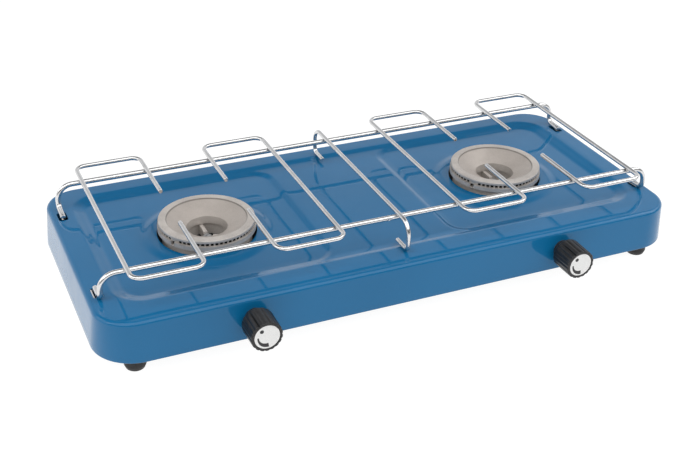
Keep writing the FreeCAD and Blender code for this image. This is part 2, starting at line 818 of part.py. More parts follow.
def save_side(name, side):
    """The pieces that the stove has once on the left and once on the right."""
    save(foot_rail(side), name + "_foot_rail")
    save(rubber_foot(side * foot_x, -foot_y), name + "_front_foot")
    save(rubber_foot(side * foot_x, foot_y), name + "_rear_foot")
    save(burner_bridge(side), name + "_burner_bridge")
    save(burner_body(side), name + "_burner_body")
    save(burner_cap(side), name + "_burner_cap")
    save(tap_body(side), name + "_tap_body")
    save(injector(side), name + "_injector")
    save(spindle(side), name + "_spindle")
    save(knob(side), name + "_knob")
    save(knob_disc(side), name + "_knob_disc")
    save(support_wire(side * outer_bar_x, side * outer_prong_x), name + "_outer_support")
    save(support_wire(side * inner_bar_x, side * inner_prong_x), name + "_inner_support")


def main():
    os.makedirs("parts", exist_ok=True)
    save(top_shell(), "top_shell")
    for name, side in sides.items():
        save_side(name, side)
    save(group(burner_screw), "burner_screws")
    save(group(burner_nut), "burner_nuts")
    save(group(spindle_seal), "spindle_seals")
    save(group(gland_bush), "gland_bushes")
    save(group(tap_locknut), "tap_locknuts")
    save(group(tap_gasket), "tap_gaskets")
    save(gas_rail(), "gas_rail")
    save(rail_end_plug(), "rail_end_plug")
    save(rail_elbow(), "rail_elbow")
    save(feed_pipe(), "feed_pipe")
    save(inlet_fitting(), "inlet_fitting")
    save(inlet_locknut(), "inlet_locknut")
    save(inlet_gasket(), "inlet_gasket")
    save(long_rail(-1), "front_rail")
    save(long_rail(1), "rear_rail")
    save(centre_wire(), "centre_wire")


main()
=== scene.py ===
import json
import math

import bmesh
import bpy
import numpy as np
from mathutils import Matrix, Vector
from mathutils.geometry import delaunay_2d_cdt


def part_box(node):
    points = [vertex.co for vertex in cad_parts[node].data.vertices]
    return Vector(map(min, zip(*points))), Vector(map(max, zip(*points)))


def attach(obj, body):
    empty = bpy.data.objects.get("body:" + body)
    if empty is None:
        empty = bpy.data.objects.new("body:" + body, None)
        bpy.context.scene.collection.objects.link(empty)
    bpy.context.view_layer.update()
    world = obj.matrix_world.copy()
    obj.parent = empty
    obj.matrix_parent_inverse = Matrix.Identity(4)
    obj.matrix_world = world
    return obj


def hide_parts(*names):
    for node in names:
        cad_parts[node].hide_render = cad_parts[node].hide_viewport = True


# Looks of a two-burner camping stove, built round its CAD frame. Shapes are written in
# millimetres and scaled when a mesh is made. Places come from the frame's boxes.

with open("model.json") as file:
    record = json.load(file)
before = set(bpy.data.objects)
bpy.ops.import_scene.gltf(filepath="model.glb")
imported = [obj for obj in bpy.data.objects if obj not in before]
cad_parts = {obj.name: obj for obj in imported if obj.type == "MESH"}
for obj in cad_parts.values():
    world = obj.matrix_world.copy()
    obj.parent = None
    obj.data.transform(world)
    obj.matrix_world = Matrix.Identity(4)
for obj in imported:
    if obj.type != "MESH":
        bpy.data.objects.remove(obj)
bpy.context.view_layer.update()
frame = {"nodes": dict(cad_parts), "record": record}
mm = 0.001


def box_mm(node):
    """Lowest and highest corner of a CAD node in millimetres."""
    low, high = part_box(node)
    return low / mm, high / mm


# ---- places read from the frame ----
tray_low, tray_high = box_mm("top_shell")
half_length = tray_high.x
half_depth = tray_high.y
wall_bottom = tray_low.z
top_plane = tray_high.z
cap_low, cap_high = box_mm("right_burner_cap")
burner_x = (cap_low.x + cap_high.x) / 2
cooking_y = (cap_low.y + cap_high.y) / 2
cap_radius = (cap_high.x - cap_low.x) / 2
knob_low, knob_high = box_mm("right_knob")
knob_z = (knob_low.z + knob_high.z) / 2
knob_face = -knob_low.y
knob_back = -knob_high.y
wire_low, wire_high = box_mm("centre_wire")
rail_high = box_mm("front_rail")[1]
foot_low, foot_high = box_mm("right_front_foot")
foot_x = (foot_low.x + foot_high.x) / 2
foot_y = -(foot_low.y + foot_high.y) / 2
sides = {"left": -1, "right": 1}

# ---- the tray's press work, as in the CAD model ----
sheet = 0.8
wall_draft = 3.0
bottom_corner = 33.0
top_corner = 27.0
top_edge_radius = 3.5
flange_width = 7.0
recess_half_length = 217.0
recess_front = -79.0
recess_back = 88.0
recess_corner = 24.0
bridge_drop = 1.6
cell_drop = 3.2
step_run = 5.25
bridge_half_width = 48.0
collar_foot_radius = 52.0
collar_top_radius = 44.0
collar_height = 1.5
burner_hole_radius = 38.5
slot_half_width = 3.6
slot_corner = 1.5
slot_near = 52.0
slot_far = 65.0

# ---- the burner caps; radii, and heights above the top plane ----
cap_foot = 5.1
port_count = 64
port_height = 2.2
port_width = 2.3
port_band_radius = 36.0
lug_angle = 210.0
lug_half_width = 1.3
lug_proud = 0.6
air_hole_radius = 15.8
dish_foot = 1.8
dish_radius = 30.9
dish_top = 8.95
dish_slope = (dish_top - dish_foot) / (dish_radius - air_hole_radius)
foot_pad_top = 11.2

# ---- the wires, as in the CAD model ----
rail_radius = 2.1
wire_radius = 1.75
rail_bend = 12.0
foot_bend = 5.0
foot_reach = 16.6
corner_tip_rise = 1.4
corner_foot_rise = 2.6
bar_bend = 8.0
prong_tip_half_depth = 26.0
centre_leg_bend = 11.0
centre_foot_bend = 4.5
centre_foot_reach = 18.0
centre_foot_rise = 2.15


# ---- meshes ----
def place_piece(name, mesh, material, body, replaced=()):
    """Put a mesh in the scene as a piece that rides on a CAD body."""
    piece = bpy.data.objects.new(name, mesh)
    bpy.context.scene.collection.objects.link(piece)
    mesh.materials.clear()
    mesh.materials.append(material)
    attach(piece, body)
    if replaced:
        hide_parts(*replaced)
    return piece


def mesh_from(name, points, faces):
    """Mesh from points in millimetres, with doubled points and empty faces taken out."""
    mesh = bpy.data.meshes.new(name)
    mesh.from_pydata([Vector(point) * mm for point in points], [], faces)
    shape = bmesh.new()
    shape.from_mesh(mesh)
    bmesh.ops.remove_doubles(shape, verts=shape.verts, dist=1e-7)
    bmesh.ops.dissolve_degenerate(shape, edges=shape.edges, dist=1e-7)
    bmesh.ops.recalc_face_normals(shape, faces=shape.faces)
    shape.to_mesh(mesh)
    shape.free()
    return mesh


def smooth_by_angle(mesh, degrees=35):
    """Smooth shading that stays crisp across edges sharper than the angle."""
    shape = bmesh.new()
    shape.from_mesh(mesh)
    limit = math.radians(degrees)
    for face in shape.faces:
        face.smooth = True
    for edge in shape.edges:
        edge.smooth = len(edge.link_faces) == 2 and edge.calc_face_angle(0.0) < limit
    shape.to_mesh(mesh)
    shape.free()
    return mesh


def rounded(profile, radii, steps=4):
    """A closed outline with its corners rounded off; one radius for all corners, or one for each."""
    count = len(profile)
    if not hasattr(radii, "__len__"):
        radii = [radii] * count
    points = []
    for index, radius in enumerate(radii):
        corner = Vector(profile[index])
        before = Vector(profile[index - 1]) - corner
        after = Vector(profile[(index + 1) % count]) - corner
        if radius <= 0:
            points.append(corner)
            continue
        half = before.angle(after) / 2
        reach = min(radius / math.tan(half), 0.45 * before.length, 0.45 * after.length)
        start = corner + before.normalized() * reach
        end = corner + after.normalized() * reach
        for step in range(steps + 1):
            t = step / steps
            points.append(start * (1 - t) ** 2 + corner * 2 * t * (1 - t) + end * t ** 2)
    return [tuple(point) for point in points]


def wrap_columns(columns, place):
    """Closed skin over a ring of columns, each (angle, outline of (radius, height) points)."""
    points = []
    for angle, outline in columns:
        points += [place(radius, height, angle) for radius, height in outline]
    rows = len(columns[0][1])
    count = len(columns)
    faces = []
    for column in range(count):
        following = (column + 1) % count
        for row in range(rows):
            other = (row + 1) % rows
            faces.append((column * rows + row, following * rows + row,
                          following * rows + other, column * rows + other))
    return points, faces


def upright(centre):
    """Placing for pieces turned about a vertical axis."""
    def place(radius, height, angle):
        x = centre[0] + radius * math.cos(angle)
        y = centre[1] + radius * math.sin(angle)
        return (x, y, centre[2] + height)
    return place


def facing_front(x, z):
    """Placing for pieces turned about an axis that runs to the front; heights are -y."""
    def place(radius, height, angle):
        return (x + radius * math.cos(angle), -height, z + radius * math.sin(angle))
    return place


def even_columns(outline, count):
    return [(2 * math.pi * index / count, outline) for index in range(count)]


# ---- node material helpers ----
class Shading:
    """One material's node tree with short calls for the nodes used here."""

    def __init__(self, name):
        self.material = bpy.data.materials.new(name)
        self.material.use_nodes = True
        self.tree = self.material.node_tree
        self.shader = self.tree.nodes["Principled BSDF"]
        self.coordinates = self.add("ShaderNodeTexCoord").outputs["Object"]

    def add(self, kind, **settings):
        node = self.tree.nodes.new(kind)
        for name, value in settings.items():
            setattr(node, name, value)
        return node

    def link(self, source, target):
        self.tree.links.new(source, target)

    def fill(self, node, **values):
        """Set or link a node's inputs by name, with underscores for spaces."""
        for name, value in values.items():
            socket = node.inputs[name.replace("_", " ")]
            if isinstance(value, bpy.types.NodeSocket):
                self.link(value, socket)
            else:
                socket.default_value = value
        return node

    def noise(self, scale, detail=3.0, roughness=0.5, where=None, distortion=0.0):
        node = self.add("ShaderNodeTexNoise")
        self.fill(node, Vector=where or self.coordinates, Scale=scale, Detail=detail,
                  Roughness=roughness, Distortion=distortion)
        return node.outputs["Fac"]

    def cells(self, scale, feature="F1", where=None):
        node = self.add("ShaderNodeTexVoronoi", feature=feature)
        self.fill(node, Vector=where or self.coordinates, Scale=scale)
        return node

    def spread(self, value, low, high, out_low=0.0, out_high=1.0):
        """Map a range of values onto another, clamped."""
        node = self.add("ShaderNodeMapRange", interpolation_type="SMOOTHSTEP")
        self.fill(node, Value=value, From_Min=low, From_Max=high, To_Min=out_low, To_Max=out_high)
        return node.outputs["Result"]

    def maths(self, operation, first, second=0.0, clamp=False):
        node = self.add("ShaderNodeMath", operation=operation, use_clamp=clamp)
        for socket, value in zip(node.inputs, (first, second)):
            if isinstance(value, bpy.types.NodeSocket):
                self.link(value, socket)
            else:
                socket.default_value = value
        return node.outputs["Value"]

    def blend(self, factor, first, second):
        """Mix of two colours, each a tuple or a socket."""
        node = self.add("ShaderNodeMix", data_type="RGBA")
        sockets = [socket for socket in node.inputs if socket.type == "RGBA"]
        if isinstance(factor, bpy.types.NodeSocket):
            self.link(factor, node.inputs[0])
        else:
            node.inputs[0].default_value = factor
        for socket, value in zip(sockets, (first, second)):
            if isinstance(value, bpy.types.NodeSocket):
                self.link(value, socket)
            else:
                socket.default_value = (*value, 1.0)
        return [socket for socket in node.outputs if socket.type == "RGBA"][0]

    def bump(self, height, distance, strength=1.0, normal=None):
        node = self.add("ShaderNodeBump")
        self.fill(node, Height=height, Distance=distance, Strength=strength)
        if normal is not None:
            self.link(normal, node.inputs["Normal"])
        return node.outputs["Normal"]

    def finish(self, **values):
        self.fill(self.shader, **values)
        return self.material


def paint_material():
    """Glossy blue stoving enamel with a faint orange peel over slightly wavy sheet."""
    s = Shading("blue_enamel")
    drift = s.spread(s.noise(9.0, 2.0), 0.3, 0.7)
    fine = s.spread(s.noise(1400.0, 2.0), 0.35, 0.65)
    colour = s.blend(drift, (0.003, 0.118, 0.274), (0.004, 0.13, 0.3))
    colour = s.blend(s.maths("MULTIPLY", fine, 0.08), colour, (0.01, 0.17, 0.36))
    wavy = s.bump(s.noise(16.0, 1.0, 0.4), 0.0005)
    peel = s.bump(s.noise(420.0, 2.0, 0.5), 0.000008, 0.6, wavy)
    roughness = s.spread(s.noise(60.0, 3.0), 0.3, 0.7, 0.4, 0.5)
    s.shader.inputs["Coat Roughness"].default_value = 0.05
    return s.finish(Base_Color=colour, Roughness=roughness, IOR=1.12, Coat_Weight=1.0,
                    Coat_IOR=1.4, Normal=wavy, Coat_Normal=peel)


def plated_material():
    """Bright plated wire: faintly uneven polish, dull where it is welded, and darker at the crossings from
    scorch and painted contact shade.
    """
    s = Shading("plated_wire")
    weld_shade_mark = s.add("ShaderNodeAttribute", attribute_name="weld_shade_mark").outputs["Fac"]
    streak = s.spread(s.noise(90.0, 3.0, 0.5), 0.3, 0.7)
    spot = s.spread(s.noise(700.0, 3.0, 0.6), 0.45, 0.75)
    colour = s.blend(streak, (0.66, 0.657, 0.654), (0.76, 0.757, 0.754))
    # darker at the crossings: welding scorch and painted contact shade between the wires
    scorch_and_shade = s.maths("MULTIPLY", weld_shade_mark, s.maths("ADD", 0.45, spot), clamp=True)
    colour = s.blend(scorch_and_shade, colour, (0.1, 0.085, 0.07))
    polish = s.spread(streak, 0.0, 1.0, 0.18, 0.23)
    roughness = s.maths("ADD", polish, s.maths("MULTIPLY", weld_shade_mark, 0.3))
    ripple = s.bump(s.noise(120.0, 2.0), 0.00004, 0.35)
    return s.finish(Base_Color=colour, Metallic=1.0, Roughness=roughness, Normal=ripple)


def cast_material():
    """Fine pressure-cast alloy: matt, grainy, with small pits; painted shade inside the flame chamber, a
    painted darker dish and a painted shade line at the dish step.
    """
    s = Shading("cast_alloy")
    cloud = s.spread(s.noise(55.0, 4.0, 0.6), 0.3, 0.7)
    speck = s.spread(s.noise(1300.0, 3.0, 0.6), 0.35, 0.7)
    colour = s.blend(cloud, (0.43, 0.393, 0.362), (0.55, 0.507, 0.468))
    colour = s.blend(s.maths("MULTIPLY", speck, 0.35), colour, (0.64, 0.6, 0.56))
    split = s.add("ShaderNodeSeparateXYZ")
    s.link(s.coordinates, split.inputs[0])
    across = s.maths("SUBTRACT", s.maths("ABSOLUTE", split.outputs["X"]), burner_x * mm)
    along = s.maths("SUBTRACT", split.outputs["Y"], cooking_y * mm)
    radius = s.maths("SQRT", s.maths("ADD", s.maths("MULTIPLY", across, across),
                                     s.maths("MULTIPLY", along, along)))
    height = s.maths("SUBTRACT", split.outputs["Z"], top_plane * mm)
    # painted shade: the flame chamber under the cap, seen through the ports, is painted near black
    in_ring = s.maths("MULTIPLY", s.spread(radius, 19.7 * mm, 20.0 * mm),
                      s.spread(radius, 35.5 * mm, 35.9 * mm, 1.0, 0.0))
    inside = s.maths("MULTIPLY", in_ring, s.spread(height, 7.55 * mm, 7.75 * mm, 1.0, 0.0))
    inside = s.maths("MULTIPLY", inside, s.spread(height, 2.2 * mm, 2.6 * mm))
    over_dish = s.maths("SUBTRACT", height, s.maths("MULTIPLY", radius, dish_slope))
    under_dish = s.spread(over_dish, -6.9 * mm, -6.4 * mm, 1.0, 0.0)
    chamber_shade = s.maths("MULTIPLY", inside, under_dish)
    colour = s.blend(chamber_shade, colour, (0.006, 0.0055, 0.005))
    # painted shade: the dish and the top of the air hole are painted darker than the rim
    dish_shade = s.maths("MULTIPLY", s.spread(radius, (dish_radius - 0.6) * mm, dish_radius * mm, 0.45, 0.0),
                      s.spread(height, (dish_foot - 0.8) * mm, (dish_foot - 0.3) * mm))
    colour = s.blend(dish_shade, colour, (0.35, 0.3, 0.265))
    # painted shade: a dark line along the step between the rim and the dish
    from_step = s.maths("ABSOLUTE", s.maths("SUBTRACT", radius, dish_radius * mm))
    step_shade = s.maths("MULTIPLY", s.spread(from_step, 0.15 * mm, 0.55 * mm, 0.6, 0.0),
                    s.spread(height, (dish_top - 1.0) * mm, (dish_top - 0.6) * mm))
    colour = s.blend(step_shade, colour, (0.1, 0.09, 0.08))
    pits = s.spread(s.cells(1100.0).outputs["Distance"], 0.0, 0.35)
    grain = s.bump(s.noise(1900.0, 4.0, 0.65), 0.00012, 0.8)
    surface = s.bump(pits, 0.00006, 0.5, grain)
    roughness = s.spread(speck, 0.0, 1.0, 0.5, 0.36)
    return s.finish(Base_Color=colour, Metallic=0.25, Roughness=roughness, Normal=surface)


def knob_material():
    """Satin black moulded plastic with a fine eroded grain."""
    s = Shading("knob_plastic")
    worn = s.spread(s.noise(180.0, 4.0), 0.45, 0.75)
    colour = s.blend(worn, (0.009, 0.009, 0.01), (0.018, 0.0175, 0.019))
    grain = s.bump(s.noise(3200.0, 2.0), 0.00004, 0.6)
    return s.finish(Base_Color=colour, Roughness=s.spread(worn, 0.0, 1.0, 0.34, 0.46), Normal=grain)


def rubber_material():
    s = Shading("black_rubber")
    dust = s.spread(s.noise(320.0, 5.0, 0.65), 0.45, 0.8)
    colour = s.blend(dust, (0.012, 0.012, 0.013), (0.045, 0.044, 0.043))
    grain = s.bump(s.noise(2200.0, 3.0), 0.00008, 0.7)
    return s.finish(Base_Color=colour, Roughness=s.spread(dust, 0.0, 1.0, 0.6, 0.82), Normal=grain)


def brass_material():
    s = Shading("turned_brass")
    tarnish = s.spread(s.noise(140.0, 5.0, 0.6), 0.4, 0.75)
    colour = s.blend(tarnish, (0.75, 0.53, 0.22), (0.52, 0.36, 0.16))
    lines = s.bump(s.noise(1800.0, 2.0), 0.00003, 0.5)
    return s.finish(Base_Color=colour, Metallic=1.0, Roughness=s.spread(tarnish, 0.0, 1.0, 0.22, 0.42),
                    Normal=lines)


def steel_material():
    """Zinc-plated sheet and tube, with a faint crystal pattern."""
    s = Shading("zinc_steel")
    crystal = s.cells(160.0).outputs["Color"]
    shade = s.spread(s.maths("MULTIPLY", crystal, 1.0), 0.0, 1.0)
    cloud = s.spread(s.noise(35.0, 4.0), 0.3, 0.7)
    colour = s.blend(s.maths("MULTIPLY", shade, 0.5), (0.55, 0.56, 0.57), (0.68, 0.69, 0.7))
    colour = s.blend(s.maths("MULTIPLY", cloud, 0.4), colour, (0.46, 0.46, 0.45))
    grain = s.bump(s.noise(1600.0, 3.0), 0.00002, 0.5)
    return s.finish(Base_Color=colour, Metallic=1.0, Roughness=s.spread(cloud, 0.0, 1.0, 0.3, 0.42),
                    Normal=grain)


def disc_material(x):
    """Light face disc with a round off mark and an arc that thickens towards full flame."""
    s = Shading("face_disc")
    split = s.add("ShaderNodeSeparateXYZ")
    s.link(s.coordinates, split.inputs[0])
    across = s.maths("SUBTRACT", split.outputs["X"], x * mm)
    rise = s.maths("SUBTRACT", split.outputs["Z"], knob_z * mm)
    radius = s.maths("SQRT", s.maths("ADD", s.maths("MULTIPLY", across, across),
                                     s.maths("MULTIPLY", rise, rise)))
    angle = s.maths("ARCTAN2", rise, across)
    # turned so that the arc runs from its thin end at 0 upwards without a jump
    start = math.radians(176)
    sweep = math.radians(104)
    along = s.maths("MODULO", s.maths("ADD", angle, 2 * math.pi * 2 - start), 2 * math.pi)
    part = s.maths("DIVIDE", along, sweep)
    half_width = s.spread(part, 0.0, 1.0, 0.6 * mm, 1.6 * mm)
    offset = s.maths("ABSOLUTE", s.maths("SUBTRACT", radius, 6.6 * mm))
    edge = 0.08 * mm
    arc = s.spread(s.maths("SUBTRACT", offset, half_width), -edge, edge, 1.0, 0.0)
    arc = s.maths("MULTIPLY", arc, s.spread(part, 0.98, 1.0, 1.0, 0.0))
    dot_x = s.maths("SUBTRACT", across, 6.3 * mm * math.cos(math.radians(127)))
    dot_z = s.maths("SUBTRACT", rise, 6.3 * mm * math.sin(math.radians(127)))
    dot_far = s.maths("SQRT", s.maths("ADD", s.maths("MULTIPLY", dot_x, dot_x),
                                      s.maths("MULTIPLY", dot_z, dot_z)))
    dot = s.spread(dot_far, 1.4 * mm, 1.55 * mm, 1.0, 0.0)
    ink = s.maths("MAXIMUM", arc, dot)
    centre = s.spread(radius, 8.6 * mm, 8.9 * mm, 1.0, 0.0)
    mottle = s.spread(s.noise(2600.0, 2.0), 0.35, 0.65)
    ground = s.blend(s.maths("MULTIPLY", centre, mottle), (0.86, 0.86, 0.85), (0.7, 0.7, 0.69))
    colour = s.blend(ink, ground, (0.02, 0.02, 0.022))
    grain = s.bump(s.maths("MULTIPLY", mottle, centre), 0.00003, 0.6)
    return s.finish(Base_Color=colour, Roughness=s.spread(centre, 0.0, 1.0, 0.3, 0.5), Normal=grain)


def floor_material():
    """Pale paper that glows a little, so that shadows on it stay faint; under the stove it neither glows
    nor is pale, a painted shadow.
    """
    s = Shading("pale_floor")
    split = s.add("ShaderNodeSeparateXYZ")
    s.link(s.coordinates, split.inputs[0])
    outside = []
    # the painted shadow ends this far inside the tray's ends and front wall, and nearly at its rear wall
    inset = 28
    rear_inset = 9
    shade = (("X", inset - half_length, half_length - inset),
             ("Y", inset - half_depth, half_depth - rear_inset))
    for axis, low, high in shade:
        away = s.maths("ABSOLUTE", s.maths("SUBTRACT", split.outputs[axis], (low + high) / 2 * mm))
        reach = (high - low) / 2
        outside.append(s.spread(away, reach * mm, (reach + 10) * mm))
    painted_glow_mask = s.maths("MAXIMUM", *outside)
    tone = s.blend(s.noise(3.0, 2.0), (0.11, 0.11, 0.11), (0.13, 0.13, 0.13))
    # painted shadow: under the stove the floor is near black and has no glow
    tone = s.blend(painted_glow_mask, (0.03, 0.03, 0.03), tone)
    return s.finish(Base_Color=tone, Roughness=0.9, Emission_Color=(1.0, 1.0, 1.0, 1.0),
                    Emission_Strength=s.maths("MULTIPLY", painted_glow_mask, 0.95))


# ---- the tray ----
def ease(t):
    """Ramp from 0 to 1 with soft ends."""
    t = np.clip(t, 0.0, 1.0)
    return t ** 3 * (t * (6 * t - 15) + 10)


def press_ramp(distance, run, softness=1.7):
    """How far down a pressed step has gone at a distance inside its edge."""
    return ease((distance + softness) / (run + 2 * softness))


def depth_inside(x, y, x_ends, y_ends, corner):
    """Distance inside a rounded rectangle's edge, negative outside it."""
    over_x = np.abs(x - sum(x_ends) / 2) - ((x_ends[1] - x_ends[0]) / 2 - corner)
    over_y = np.abs(y - sum(y_ends) / 2) - ((y_ends[1] - y_ends[0]) / 2 - corner)
    outside = np.hypot(np.maximum(over_x, 0), np.maximum(over_y, 0))
    return corner - outside - np.minimum(np.maximum(over_x, over_y), 0)


def press_height(x, y):
    """Height of the tray's upper face above or below its top plane."""
    height = -bridge_drop * press_ramp(
        depth_inside(x, y, (-recess_half_length, recess_half_length), (recess_front, recess_back),
                     recess_corner), step_run)
    for side in sides.values():
        x_ends = sorted((side * bridge_half_width, side * (recess_half_length - step_run)))
        cell = depth_inside(x, y, x_ends, (recess_front + step_run, recess_back - step_run),
                            recess_corner - step_run)
        height -= (cell_drop - bridge_drop) * press_ramp(cell, step_run)
        away = np.hypot(x - side * burner_x, y - cooking_y)
        collar_run = collar_foot_radius - collar_top_radius
        height += collar_height * press_ramp(collar_foot_radius - away, collar_run)
    return height


def press_normals(x, y):
    """Upward unit normals of the pressed face."""
    reach = 0.05
    slope_x = (press_height(x + reach, y) - press_height(x - reach, y)) / (2 * reach)
    slope_y = (press_height(x, y + reach) - press_height(x, y - reach)) / (2 * reach)
    normals = np.stack([-slope_x, -slope_y, np.ones_like(slope_x)], axis=-1)
    return normals / np.linalg.norm(normals, axis=-1, keepdims=True)


def tray_outline(inset, corner_steps=20, long_steps=90, short_steps=34):
    """Points round the tray at one inset from its bottom edge."""
    at_top = min(inset / wall_draft, 1.0)
    corner = bottom_corner + (top_corner - bottom_corner) * at_top - max(inset - wall_draft, 0.0)
    x_centre = half_length - inset - corner
    y_centre = half_depth - inset - corner
    points = []
    for quarter, (x_side, y_side) in enumerate(((1, 1), (-1, 1), (-1, -1), (1, -1))):
        middle = Vector((x_side * x_centre, y_side * y_centre))
        for step in range(corner_steps):
            angle = math.pi / 2 * (quarter + step / corner_steps)
            points.append(middle + Vector((math.cos(angle), math.sin(angle))) * corner)
        end_angle = math.pi / 2 * (quarter + 1)
        start = middle + Vector((math.cos(end_angle), math.sin(end_angle))) * corner
        if quarter % 2 == 0:
            end = start - Vector((x_side * 2 * x_centre, 0))
            steps = long_steps
        else:
            end = start - Vector((0, y_side * 2 * y_centre))
            steps = short_steps
        points += [start.lerp(end, step / steps) for step in range(steps)]
    return points


def tray_profile():
    """Insets and heights down the tray's edge: top fillet, wall, bottom bend and flange."""
    slope = wall_draft / (top_plane - wall_bottom)
    draft = math.atan(slope)
    fillet_z = top_plane - top_edge_radius
    centre_inset = (fillet_z - wall_bottom) * slope + top_edge_radius / math.cos(draft)
    rows = []
    fillet_steps = 10
    for step in range(fillet_steps + 1):
        angle = math.pi / 2 + (draft - math.pi / 2) * step / fillet_steps
        rows.append((centre_inset - top_edge_radius * math.cos(angle),
                     fillet_z + top_edge_radius * math.sin(angle)))
    bend = 0.9
    bend_steps = 6
    wall_steps = 7
    wall_top = rows[-1][1]
    wall_end = wall_bottom + bend
    for step in range(1, wall_steps + 1):
        z = wall_top + (wall_end - wall_top) * step / wall_steps
        rows.append(((z - wall_bottom) * slope, z))
    edge_inset = rows[-1][0]
    for step in range(1, bend_steps + 1):
        angle = math.pi / 2 * step / bend_steps
        rows.append((edge_inset + bend * (1 - math.cos(angle)), wall_end - bend * math.sin(angle)))
    rows.append((flange_width, wall_bottom))
    return rows


def circle_loop(x, y, radius, count):
    """Circle as a closed loop of points."""
    loop = []
    for step in range(count):
        angle = 2 * math.pi * step / count
        loop.append(Vector((x + radius * math.cos(angle), y + radius * math.sin(angle))))
    return loop


def slot_loop(x, y_ends):
    """Rounded slot outline as a closed loop of points."""
    y_low, y_high = sorted(y_ends)
    corners = [(x + slot_half_width, y_low), (x + slot_half_width, y_high),
               (x - slot_half_width, y_high), (x - slot_half_width, y_low)]
    return [Vector(point) for point in rounded(corners, slot_corner, 5)]


def top_face(outer_loop):
    """Triangulated upper face inside the top fillet, with the burner holes and slots left open."""
    loops = [outer_loop]
    for side in sides.values():
        loops.append(circle_loop(side * burner_x, cooking_y, burner_hole_radius, 144))
    for x_side in (-1, 1):
        for y_side in (-1, 1):
            loops.append(slot_loop(x_side * (rail_high.x - rail_radius),
                                   (cooking_y + y_side * slot_near, cooking_y + y_side * slot_far)))
    points = []
    edges = []
    for loop in loops:
        first = len(points)
        points += loop
        edges += [(first + i, first + (i + 1) % len(loop)) for i in range(len(loop))]

    fine = 1.4
    coarse = 4
    xs = np.arange(-half_length, half_length, fine)
    ys = np.arange(-half_depth, half_depth, fine)
    grid_x, grid_y = np.meshgrid(xs, ys, indexing="ij")
    flat = press_normals(grid_x, grid_y)[..., 2] > 1 - 1e-7
    column, row = np.meshgrid(np.arange(len(xs)), np.arange(len(ys)), indexing="ij")
    keep = ~flat | ((column % coarse == 0) & (row % coarse == 0))
    keep &= allowed(grid_x, grid_y, loops, fine * 0.6)
    points += [Vector(pair) for pair in zip(grid_x[keep], grid_y[keep])]
    made = delaunay_2d_cdt(points, edges, [], 0, 1e-5)
    corners = np.array([tuple(point) for point in made[0]])
    triangles = np.array(made[2])
    middles = corners[triangles].mean(axis=1)
    inside = allowed(middles[:, 0], middles[:, 1], loops, 0.0)
    return corners, triangles[inside]


def allowed(x, y, loops, margin):
    """Whether points lie on the sheet, further than a margin from its edges."""
    outer = loops[0]
    x_max = max(point.x for point in outer)
    y_max = max(point.y for point in outer)
    corner = top_corner - (half_length - x_max - wall_draft)
    good = depth_inside(x, y, (-x_max, x_max), (-y_max, y_max), corner) > margin
    for side in sides.values():
        good &= np.hypot(x - side * burner_x, y - cooking_y) > burner_hole_radius + margin
    for loop in loops[3:]:
        x_ends = (min(point.x for point in loop), max(point.x for point in loop))
        y_ends = (min(point.y for point in loop), max(point.y for point in loop))
        good &= depth_inside(x, y, x_ends, y_ends, slot_corner) < -margin
    return good


def thickened(mesh, normals, thickness):
    """Closed shell from an open skin: the skin, the same skin set back, and rims between them."""
    count = len(mesh.vertices)
    outer = np.empty(count * 3)
    mesh.vertices.foreach_get("co", outer)
    outer = outer.reshape(-1, 3)
    inner = outer - normals * thickness * mm
    faces = [tuple(face.vertices) for face in mesh.polygons]
    loop_normals = [normals[v] for face in faces for v in face]
    used = {}
    for face in faces:
        for a, b in zip(face, face[1:] + face[:1]):
            used[(a, b)] = True
    all_faces = list(faces)
    for face in faces:
        back = tuple(v + count for v in reversed(face))
        all_faces.append(back)
        loop_normals += [-normals[v - count] for v in back]
    for a, b in used:
        if (b, a) not in used:
            rim = (b, a, a + count, b + count)
            all_faces.append(rim)
            places = [outer[v] if v < count else inner[v - count] for v in rim]
            across = np.cross(places[1] - places[0], places[2] - places[0])
            across /= np.linalg.norm(across) + 1e-12
            loop_normals += [across] * 4
    shell = bpy.data.meshes.new(mesh.name)
    shell.from_pydata([*map(tuple, outer), *map(tuple, inner)], [], all_faces)
    shell.polygons.foreach_set("use_smooth", [True] * len(all_faces))
    shell.normals_split_custom_set([tuple(normal) for normal in loop_normals])
    return shell


def make_tray(material):
    profile = tray_profile()
    rings = [tray_outline(inset) for inset, z in profile]
    around = len(rings[0])
    corners, triangles = top_face(rings[0])
    heights = press_height(corners[:, 0], corners[:, 1])
    points = [(x, y, top_plane + z) for (x, y), z in zip(corners, heights)]
    faces = [tuple(int(i) for i in triangle) for triangle in triangles]
    first = len(points)
    for ring, (inset, z) in zip(rings, profile):
        points += [(point.x, point.y, z) for point in ring]
    for row in range(len(rings) - 1):
        for step in range(around):
            following = (step + 1) % around
            faces.append((first + row * around + step, first + (row + 1) * around + step,
                          first + (row + 1) * around + following, first + row * around + following))
    skin = mesh_from("tray", points, faces)
    if sum(face.normal.z * face.area for face in skin.polygons) < 0:
        skin.flip_normals()
    normals = np.array([tuple(vertex.normal) for vertex in skin.vertices])
    places = np.array([tuple(vertex.co) for vertex in skin.vertices]) / mm
    edge = profile[0][0]
    corner = top_corner - (edge - wall_draft)
    on_top = depth_inside(places[:, 0], places[:, 1], (edge - half_length, half_length - edge),
                          (edge - half_depth, half_depth - edge), corner) > -0.01
    on_top &= places[:, 2] > top_plane - cell_drop - 0.1
    normals[on_top] = press_normals(places[on_top, 0], places[on_top, 1])
    shell = thickened(skin, normals, sheet)
    place_piece("tray", shell, material, "base", ["top_shell"])


